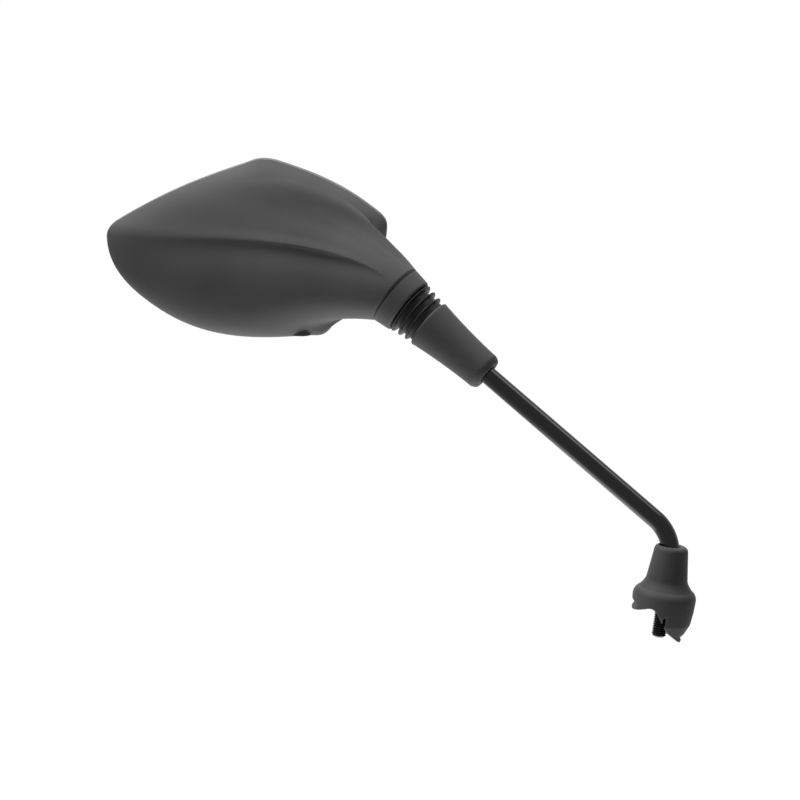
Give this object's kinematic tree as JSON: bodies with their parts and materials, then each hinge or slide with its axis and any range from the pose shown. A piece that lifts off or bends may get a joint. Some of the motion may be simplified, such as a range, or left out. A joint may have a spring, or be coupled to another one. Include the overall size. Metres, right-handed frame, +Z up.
{
  "type": "motorcycle mirror",
  "caption": "Right-hand motorcycle rear-view mirror: moulded head with convex glass on a ball joint, bent steel stem with a threaded stud, and rubber boots over both ends.",
  "frame": {"origin": "on the stud's axis at the seat, which is the lower face of the lock nut", "axes": "+Z up along the stud, away from its free end; -X towards the head; +Y towards the rider, the way the glass faces"},
  "size_m": [0.3469, 0.0993, 0.2234],
  "materials": {
    "stem_enamel": "gloss black enamel",
    "bright_steel": "zinc plated",
    "dark_steel": "black zinc",
    "boot_rubber": "moulded rubber, satin",
    "nylon": "natural nylon",
    "head_plastic": "fine matte grain",
    "mirror_glass": "silvered",
    "foam": "closed-cell foam",
    "holder_plastic": "plain moulded"
  },
  "bodies": {
    "stem": {"stem": "stem_enamel", "ball": "bright_steel", "lock_nut": "dark_steel", "base_boot": "boot_rubber", "neck_boot": "boot_rubber"},
    "lower_liner": {"lower_liner": "nylon"},
    "upper_liner": {"upper_liner": "nylon"},
    "head": {"neck_collar": "head_plastic", "pressure_cup": "bright_steel", "disc_spring_1": "bright_steel", "disc_spring_2": "bright_steel", "preload_nut": "dark_steel", "housing": "head_plastic", "glass_gasket": "boot_rubber", "glass": "mirror_glass", "foam_pad": "foam", "glass_holder": "holder_plastic", "holder_screw_1": "bright_steel", "holder_screw_2": "bright_steel", "holder_screw_3": "bright_steel", "rim_screw": "bright_steel"}
  },
  "joints": [
    {"name": "head_tilt", "type": "hinge", "parent": "stem", "child": "lower_liner", "pos_m": [-0.15981, 0.05131, 0.13497], "axis": [-0.3057, -0.9521, 0], "range_deg": [-10, 10], "deforming": ["neck_boot"]},
    {"name": "head_swing", "type": "hinge", "parent": "lower_liner", "child": "upper_liner", "pos_m": [-0.15981, 0.05131, 0.13497], "axis": [0.4818, -0.1547, 0.8625], "range_deg": [-10, 10]},
    {"name": "head_turn", "type": "hinge", "parent": "upper_liner", "child": "head", "pos_m": [-0.15981, 0.05131, 0.13497], "axis": [-0.8212, 0.2637, 0.506], "range_deg": [-30, 30]}
  ]
}
